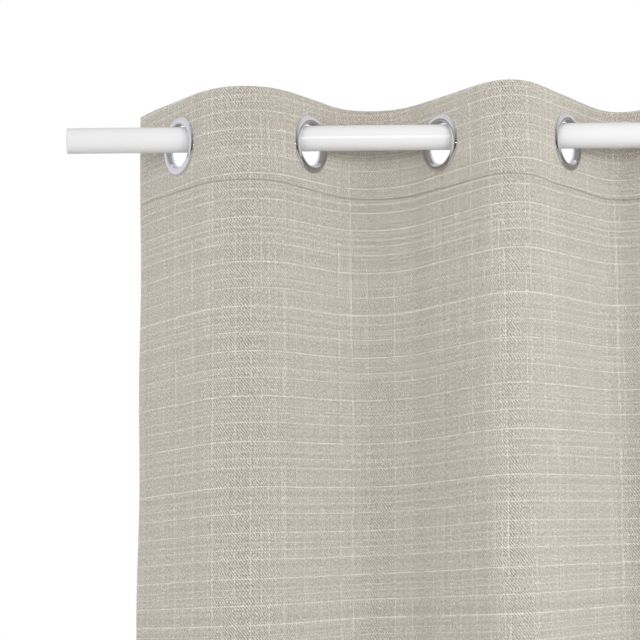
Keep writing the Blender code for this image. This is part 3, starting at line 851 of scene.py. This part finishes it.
# ---------------- rod and plugs
ALONG = Matrix(((0, 0, 1, 0), (1, 0, 0, 0), (0, 1, 0, 0), (0, 0, 0, 1)))
FACING = Matrix(((1, 0, 0, 0), (0, 0, -1, 0), (0, 1, 0, 0), (0, 0, 0, 1)))
ROD_BORE = ROD_R - 0.0012
rod_length = rod_high.x - rod_low.x
steps = list(np.linspace(0.004, rod_length - 0.004, 60))
outer = [(ROD_R - 0.0001, 0.0), (ROD_R, 0.0001)] + [(ROD_R, z) for z in steps]
outer += [(ROD_R, rod_length - 0.0001), (ROD_R - 0.0001, rod_length)]
inner = [(ROD_BORE + 0.0002, rod_length), (ROD_BORE, rod_length - 0.0003), (ROD_BORE, 0.0003),
         (ROD_BORE + 0.0002, 0.0)]
rod = turned_piece("rod_tube", outer + inner,
                   Matrix.Translation((rod_low.x, ROD_Y, ROD_Z)) @ ALONG, COAT_MAT, 128, True)
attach(rod, "rod_and_brackets")
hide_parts("curtain_rod")
for side_name, x, way in (("left", rod_low.x, 1), ("right", rod_high.x, -1)):
    r = ROD_BORE - GAP
    profile = [(0.0001, 0.0), (r - 0.0006, 0.0), (r - 0.0002, 0.0002), (r, 0.0007), (r, 0.0118),
               (r - 0.0005, 0.0122), (r - 0.003, 0.0122)]
    profile = [(p, way * z) for p, z in profile]
    plug = turned_piece("rod_plug_cap_" + side_name, profile,
                        Matrix.Translation((x, ROD_Y, ROD_Z)) @ ALONG, PLASTIC_MAT, 96)
    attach(plug, "rod_and_brackets")
    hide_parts("rod_plug_" + side_name)

# ---------------- brackets and screws
def rounded_rectangle(width, height, corner, inset=0.0, count=10):
    points = []
    reach = max(corner - inset, 0.0002)
    for quarter, (sx, sz) in enumerate(((1, 1), (-1, 1), (-1, -1), (1, -1))):
        cx, cz = sx * (width / 2 - corner), sz * (height / 2 - corner)
        for step in range(count + 1):
            angle = math.pi / 2 * (quarter + step / count)
            points.append((cx + reach * math.cos(angle), cz + reach * math.sin(angle)))
    return points


CRADLE_WALL = 0.0025
CRADLE_RISE = 0.0085                 # of the cradle's ends above the rod's middle


def cradle_outline(inset):
    """Cross-section of the open cradle with round ends, drawn in by an inset."""
    mid, half = ROD_R + GAP + CRADLE_WALL / 2, CRADLE_WALL / 2 - inset
    points = []
    straight = [(mid, z) for z in np.linspace(CRADLE_RISE - CRADLE_WALL / 2, 0.0, 4)[:-1]]
    arc = [(mid * math.cos(a), -mid * math.sin(a)) for a in np.linspace(0, math.pi, 41)]
    line = straight + arc + [(-x, z) for x, z in straight[::-1]]
    line = [np.array(q) for q in line]
    for way in (1, -1):
        walk = line if way == 1 else line[::-1]
        for i, spot in enumerate(walk):
            run = walk[min(i + 1, len(walk) - 1)] - walk[max(i - 1, 0)]
            run /= np.linalg.norm(run)
            points.append(tuple(spot + np.array((-run[1], run[0])) * half))
        end = walk[-1]
        run = walk[-1] - walk[-2]
        for step in range(1, 8):
            angle = math.pi / 2 + math.atan2(run[1], run[0]) - math.pi * step / 8
            points.append((end[0] + half * math.cos(angle), end[1] + half * math.sin(angle)))
    return points


def stacked(levels):
    """Points and faces of a solid through outlines at rising heights, each (outline, height)."""
    points, faces = [], []
    count = len(levels[0][0])
    for outline, z in levels:
        points += [(x, y, z) for x, y in outline]
    for i in range(len(levels) - 1):
        for j in range(count):
            after = (j + 1) % count
            faces.append((i * count + j, i * count + after, (i + 1) * count + after,
                          (i + 1) * count + j))
    faces.append(tuple(range(count))[::-1])
    faces.append(tuple((len(levels) - 1) * count + j for j in range(count)))
    return points, faces


def join_shapes(name, shapes, material):
    """One object from several (points, faces, matrix) shapes that run into each other."""
    points, faces = [], []
    for some_points, some_faces, matrix in shapes:
        base = len(points)
        points += [tuple(matrix @ Vector(q)) for q in some_points]
        faces += [tuple(i + base for i in face) for face in some_faces]
    obj = mesh_object(name, points, faces, material)
    finish_mesh(obj)
    return obj


def put(x, y, z, turn):
    return Matrix.Translation((x, y, z)) @ turn


PROJECTION = -ROD_Y
CRADLE_OUT = ROD_R + GAP + CRADLE_WALL
BOSS_FRONT = CRADLE_OUT + 0.0025
for side_name in ("left", "right"):
    low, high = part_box("bracket_" + side_name)
    x = (low.x + high.x) / 2
    plate = stacked([(rounded_rectangle(0.024, 0.064, 0.004, inset), z) for inset, z in (
        (0.0003, 0.0), (0.0, 0.0003), (0.0, 0.0020), (0.0002, 0.0026), (0.0006, 0.0029),
        (0.0012, 0.0030))])
    arm_end = PROJECTION - ROD_R - 0.0018
    arm = lathe(softened([(0.0088, 0.0024), (0.0072, 0.0036), (0.0050, 0.0080),
                          (0.0050, arm_end - 0.006), (0.0062, arm_end)], 0.003, False, 8),
                64, False)
    cradle = stacked([(cradle_outline(inset), z) for inset, z in (
        (0.0006, -0.0075), (0.0002, -0.0073), (0.0, -0.0068), (0.0, 0.0068), (0.0002, 0.0073),
        (0.0006, 0.0075))])
    boss = lathe(softened([(0.0058, CRADLE_OUT - 0.0012), (0.0055, CRADLE_OUT + 0.0004),
                           (0.0055, BOSS_FRONT), (0.0024, BOSS_FRONT),
                           (0.0024, CRADLE_OUT - 0.0012)], 0.0005, True), 64, True)
    body = join_shapes("bracket_body_" + side_name, [
        (*plate, put(x, 0, 0, FACING)), (*arm, put(x, 0, 0, FACING)),
        (*cradle, put(x, ROD_Y, 0, ALONG)), (*boss, put(x, ROD_Y, 0, FACING))], COAT_MAT)
    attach(body, "rod_and_brackets")
    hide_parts("bracket_" + side_name)

    # knurled thumb screw
    grip = BOSS_FRONT + GAP + 0.0015
    teeth, sides = 32, 256
    profile = [(0.0015, ROD_R + GAP), (0.0022, ROD_R + 0.0010), (0.0022, grip - 0.0015),
               (0.0038, grip - 0.0015), (0.0040, grip - 0.0013), (0.0040, grip), (0.0062, grip),
               (0.0067, grip + 0.0002), (0.0070, grip + 0.0006), (0.0070, grip + 0.0054),
               (0.0067, grip + 0.0058), (0.0060, grip + 0.0060), (0.0044, grip + 0.0060),
               (0.0040, grip + 0.0057), (0.0012, grip + 0.0056)]
    points, faces = lathe(profile, sides, False)
    for row, (radius, z) in enumerate(profile):
        if radius >= 0.0066:
            for j in range(sides):
                wave = abs(((j / sides * teeth) % 1.0) * 2 - 1)
                shrink = 1 - 0.085 * (1 - wave) ** 1.3
                i = row * sides + j
                points[i] = (points[i][0] * shrink, points[i][1] * shrink, z)
    knob = join_shapes("thumb_knob_" + side_name, [(points, faces, put(x, ROD_Y, 0, FACING))],
                       STEEL_MAT)
    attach(knob, "thumb_" + side_name)
    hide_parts("thumb_screw_" + side_name)

    # wall screws with a cross recess
    for level in ("upper", "lower"):
        node = "wall_screw_%s_%s" % (side_name, level)
        low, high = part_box(node)
        z = (low.z + high.z) / 2
        seat = 0.0033
        dome = [(0.0020, 0.0), (0.0020, seat), (0.0040, seat), (0.0042, seat + 0.0003),
                (0.0041, seat + 0.0011), (0.0036, seat + 0.0019), (0.0027, seat + 0.0024),
                (0.0015, seat + 0.0026), (0.0004, seat + 0.00262)]
        screw = join_shapes("wall_screw_head_%s_%s" % (side_name, level),
                            [(*lathe(dome, 64, False), Matrix.Identity(4))], STEEL_MAT)
        blades = []
        for turn_angle in (0.0, math.pi / 2):
            corners = [(sx * w, sy * h, zz) for zz, w, h in (
                (seat + 0.0034, 0.0024, 0.00050), (seat + 0.0008, 0.0012, 0.00038))
                for sx, sy in ((1, 1), (-1, 1), (-1, -1), (1, -1))]
            quads = [(0, 1, 2, 3), (7, 6, 5, 4)] + [(i, i + 4, (i + 1) % 4 + 4, (i + 1) % 4)
                                                    for i in range(4)]
            blades.append((corners, quads, Matrix.Rotation(turn_angle + 0.5, 4, 'Z')))
        for blade in blades:
            cutter = join_shapes("recess_shape", [blade], STEEL_MAT)
            cut = screw.modifiers.new("recess", 'BOOLEAN')
            cut.operation, cut.solver, cut.object = 'DIFFERENCE', 'EXACT', cutter
            bpy.context.view_layer.update()
            graph = bpy.context.evaluated_depsgraph_get()
            made = bpy.data.meshes.new_from_object(screw.evaluated_get(graph))
            screw.modifiers.clear()
            screw.data = made
            bpy.data.objects.remove(cutter, do_unlink=True)
        screw.data.shade_smooth()
        screw.data.set_sharp_from_angle(angle=math.radians(35))
        screw.data.transform(put(x, 0, z, FACING))
        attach(screw, "rod_and_brackets")
        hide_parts(node)

# ---------------- floor, light, camera
def floor_material():
    g = Graph("studio_floor")
    place = g.node("ShaderNodeTexCoord", output="Object")
    tone = g.noise(place, 1.5, 3.0)
    colour = g.mix(tone, (0.90, 0.90, 0.90, 1), (0.93, 0.93, 0.925, 1))
    return g.finish(Base_Color=colour, Roughness=0.8, Specular_IOR_Level=0.2)


FLOOR_R = 7.0
floor_z = PANEL_BOTTOM - 0.014
rim = [(FLOOR_R * math.cos(a), FLOOR_R * math.sin(a), floor_z)
       for a in np.linspace(0, 2 * math.pi, 97)[:-1]]
floor = mesh_object("studio_floor", rim, [tuple(range(96))], floor_material(), False)

world = bpy.data.worlds.new("studio")
bpy.context.scene.world = world
world.use_nodes = True
world.node_tree.nodes.clear()
sky = Graph(tree=world.node_tree)
paths = sky.tree.nodes.new("ShaderNodeLightPath")
parts = sky.tree.nodes.new("ShaderNodeSeparateXYZ")
sky.put(parts.inputs[0], sky.node("ShaderNodeTexCoord", output="Generated"))
height = sky.spread(parts.outputs["Z"], -1.0, 1.0)
toward = sky.times(parts.outputs["Y"], -1.0)
bearing = sky.math('ARCTAN2', parts.outputs["X"], toward)


def glow_ramp(source, stops, blue=1.0):
    """Brightness along the source: the stops are the first, the last, and those between."""
    made = sky.tree.nodes.new("ShaderNodeValToRGB")
    for number, (place, glow) in enumerate(stops):
        elements = made.color_ramp.elements
        stop = elements[number] if number < 2 else elements.new(place)
        stop.position = place
        stop.color = (glow, glow, glow * blue, 1)
    sky.put(made.inputs[0], source)
    return made.outputs[0]


# soft light by bearing: degrees from the room's side (-Y) toward +X, and brightness there
BRIGHTEST = 5.0
BEARINGS = ((-180, 1.20), (180, 1.20), (-130, 1.10), (-100, 2.00), (-75, 0.80), (-50, 0.70),
            (-25, 2.52), (0, 1.48), (25, 0.39), (50, 0.03), (100, 0.03), (130, 1.10))
OVERHEAD = 0.55
around_glow = glow_ramp(sky.spread(bearing, -math.pi, math.pi),
                        [((turn + 180) / 360, glow / BRIGHTEST) for turn, glow in BEARINGS])
low_band = sky.spread(parts.outputs["Z"], 0.6, 0.3, kind='SMOOTHSTEP')
ring_glow = sky.times(sky.times(around_glow, BRIGHTEST), low_band)
cap_glow = sky.times(sky.math('SUBTRACT', 1.0, low_band), OVERHEAD)

# what polished metal mirrors: a pale room behind, a dark one with a lit ceiling in front
pale = glow_ramp(height, ((0.0, 0.45), (1.0, 0.95), (0.40, 0.62), (0.47, 0.80), (0.55, 0.86),
                          (0.75, 0.70)), 1.03)
dark = glow_ramp(height, ((0.0, 0.30), (1.0, 0.85), (0.33, 0.10), (0.44, 0.02), (0.52, 0.05),
                          (0.60, 0.22), (0.72, 0.35)), 1.03)
front = sky.spread(toward, -0.10, 0.30, kind='SMOOTHSTEP')
diffuse, glossy, backdrop = [
    sky.node("ShaderNodeBackground", {"Color": colour})
    for colour in (sky.math('ADD', ring_glow, cap_glow), sky.mix(front, pale, dark), (1, 1, 1, 1))]
lit = sky.node("ShaderNodeMixShader", {0: paths.outputs["Is Glossy Ray"], 1: diffuse, 2: glossy})
seen = sky.node("ShaderNodeMixShader", {0: paths.outputs["Is Camera Ray"], 1: lit, 2: backdrop})
sky.node("ShaderNodeOutputWorld", {"Surface": seen}, output=None)


def area_light(name, place, target, wide, tall, power):
    data = bpy.data.lights.new(name, 'AREA')
    data.shape = 'RECTANGLE'
    data.size = wide
    data.size_y = tall
    data.energy = power
    lamp = bpy.data.objects.new(name, data)
    lamp.location = place
    lamp.rotation_euler = (Vector(target) - Vector(place)).to_track_quat('-Z', 'Y').to_euler()
    bpy.context.scene.collection.objects.link(lamp)
    return lamp


AIM = (0.25, -0.10, -0.25)
for lamp in (area_light("right_light", (1.25, -2.10, 0.0), AIM, 0.6, 0.8, 10.4),
             area_light("fill_light", (0.90, -1.10, -0.30), AIM, 0.5, 1.0, 2.9),
             area_light("top_light", (0.35, -1.35, 1.75), AIM, 2.0, 1.2, 3.9),
             area_light("key_light", (0.40, -2.35, -0.10), AIM, 0.8, 0.26, 9.6)):
    lamp.visible_glossy = False
# a small lamp that only shows as the thin highlight along the rod's middle
glint = area_light("glint_light", (0.2125, -2.35, -0.12), (0.15, -0.11, 0.0), 0.24, 0.10, 4.2)
glint.visible_diffuse = False

camera_data = bpy.data.cameras.new("camera")
camera = bpy.data.objects.new("camera", camera_data)
bpy.context.scene.collection.objects.link(camera)
camera_data.sensor_width = 36.0
camera_data.lens = 118.884375
camera_data.clip_end = 100.0
turn = (Matrix.Rotation(math.radians(-0.13), 4, 'Z')
        @ Matrix.Rotation(math.radians(90 + 7.141), 4, 'X')
        @ Matrix.Rotation(math.radians(-0.628), 4, 'Z'))
camera.matrix_world = Matrix.Translation((0.0898, -2.1658, -0.4379)) @ turn
bpy.context.scene.camera = camera
bpy.context.scene.view_settings.view_transform = 'Standard'
